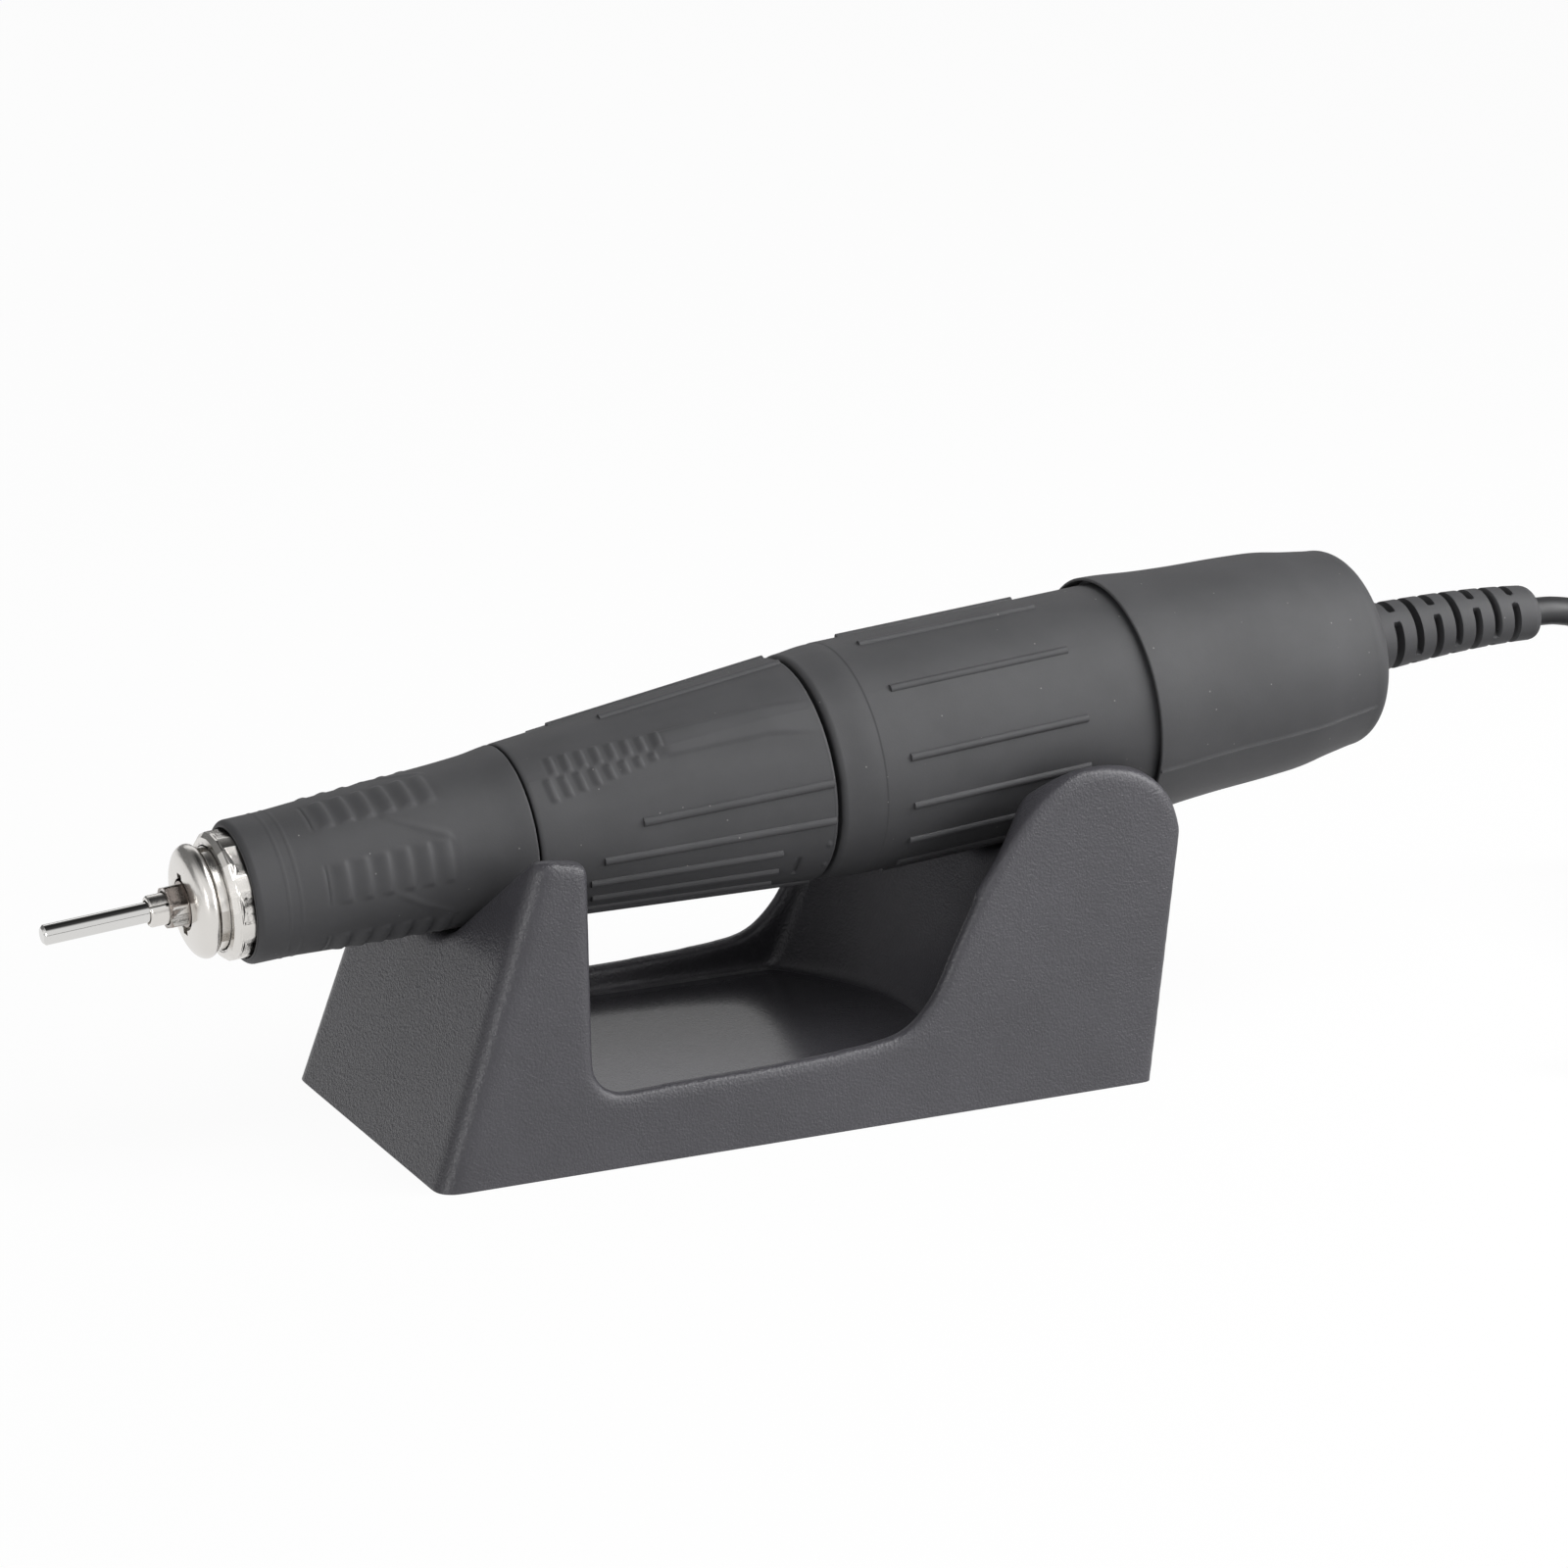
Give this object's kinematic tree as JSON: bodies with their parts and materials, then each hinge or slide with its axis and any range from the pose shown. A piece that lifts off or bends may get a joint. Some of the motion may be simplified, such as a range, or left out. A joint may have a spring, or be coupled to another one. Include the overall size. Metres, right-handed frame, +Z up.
{
  "type": "portable nail drill",
  "caption": "Portable nail drill: a slim round micromotor handpiece with twist-lock chuck and cord, lying in a moulded cradle.",
  "frame": {"origin": "middle of the cradle's underside, on the surface that it stands on", "axes": "+X along the handpiece from the chuck towards the cord, +Y across the cradle, +Z up"},
  "size_m": [0.273, 0.0723, 0.0567],
  "materials": {
    "grained_plastic": "fine leather grain, black",
    "soft_rubber": "matte black soft-touch rubber",
    "moulded_plastic": "smooth black moulding",
    "satin_steel": "fine turned",
    "polished_steel": "ground and polished",
    "spring_steel": "drawn wire",
    "anodised_aluminium": "clear anodised",
    "copper": "enamelled copper",
    "laminated_steel": "dull steel",
    "ferrite": "dark sintered",
    "carbon": "black carbon",
    "cord_jacket": "smooth black cord jacket",
    "plated_brass": "plated"
  },
  "bodies": {
    "cradle": {"cradle": "grained_plastic", "cord_coil": "cord_jacket", "cord_tail": "cord_jacket", "plug_body": "moulded_plastic", "plug_barrel": "plated_brass", "plug_ring": "moulded_plastic"},
    "handpiece": {"nose_cap": "satin_steel", "front_barrel": "satin_steel", "front_grip": "soft_rubber", "front_bearing_outer_race": "polished_steel", "middle_bearing_outer_race": "polished_steel", "bearing_spacer": "anodised_aluminium", "motor_sleeve": "soft_rubber", "motor_can": "laminated_steel", "magnet_upper": "ferrite", "magnet_lower": "ferrite", "motor_front_bearing_outer_race": "polished_steel", "motor_rear_bearing_outer_race": "polished_steel", "end_bell": "moulded_plastic", "brush_near": "carbon", "brush_far": "carbon", "brush_spring_near": "spring_steel", "brush_spring_far": "spring_steel", "rear_cap": "soft_rubber", "strain_relief": "soft_rubber", "terminal_wire_near": "cord_jacket", "terminal_wire_far": "cord_jacket", "cord_lead": "cord_jacket"},
    "twist": {"twist_ring": "soft_rubber", "cam_sleeve": "satin_steel"},
    "push": {"push_sleeve": "satin_steel", "push_pin_upper": "polished_steel", "push_pin_lower": "polished_steel"},
    "spindle": {"spindle": "satin_steel", "front_bearing_inner_race": "polished_steel", "middle_bearing_inner_race": "polished_steel", "front_bearing_cage": "plated_brass", "middle_bearing_cage": "plated_brass", "collet_spring": "spring_steel"},
    "chuck": {"collet": "satin_steel", "drawbar": "satin_steel", "cross_pin": "polished_steel", "push_collar": "satin_steel"},
    "shank": {"test_shank": "polished_steel"},
    "rotor": {"motor_shaft": "polished_steel", "rotor_core": "laminated_steel", "winding_front": "copper", "winding_rear": "copper", "commutator": "copper", "drive_claw": "moulded_plastic", "motor_front_bearing_inner_race": "polished_steel", "motor_rear_bearing_inner_race": "polished_steel"}
  },
  "joints": [
    {"name": "handpiece_lift", "type": "slide", "parent": "cradle", "child": "handpiece", "axis": [0, 0, 1], "range_m": [0, 0.06]},
    {"name": "twist_turn", "type": "hinge", "parent": "handpiece", "child": "twist", "pos_m": [0, 0, 0.0366], "axis": [0.9962, 0, 0.0872], "range_deg": [0, 60]},
    {"name": "push_slide", "type": "slide", "parent": "handpiece", "child": "push", "axis": [-0.9962, 0, -0.0872], "range_m": [0, 0.0012]},
    {"name": "rotor_spin", "type": "hinge", "parent": "handpiece", "child": "rotor", "pos_m": [0, 0, 0.0366], "axis": [0.9962, 0, 0.0872], "continuous": true},
    {"name": "spindle_spin", "type": "hinge", "parent": "handpiece", "child": "spindle", "pos_m": [0, 0, 0.0366], "axis": [0.9962, 0, 0.0872], "continuous": true},
    {"name": "chuck_slide", "type": "slide", "parent": "spindle", "child": "chuck", "axis": [-0.9962, 0, -0.0872], "range_m": [0, 0.0012]},
    {"name": "shank_draw", "type": "slide", "parent": "chuck", "child": "shank", "axis": [-0.9962, 0, -0.0872], "range_m": [0, 0.018]}
  ],
  "couplings": [
    {"joint": "push_slide", "follows": "twist_turn", "m_per_rad": 0.0011459},
    {"joint": "chuck_slide", "follows": "twist_turn", "m_per_rad": 0.0011459},
    {"joint": "spindle_spin", "follows": "rotor_spin", "ratio": 1}
  ]
}
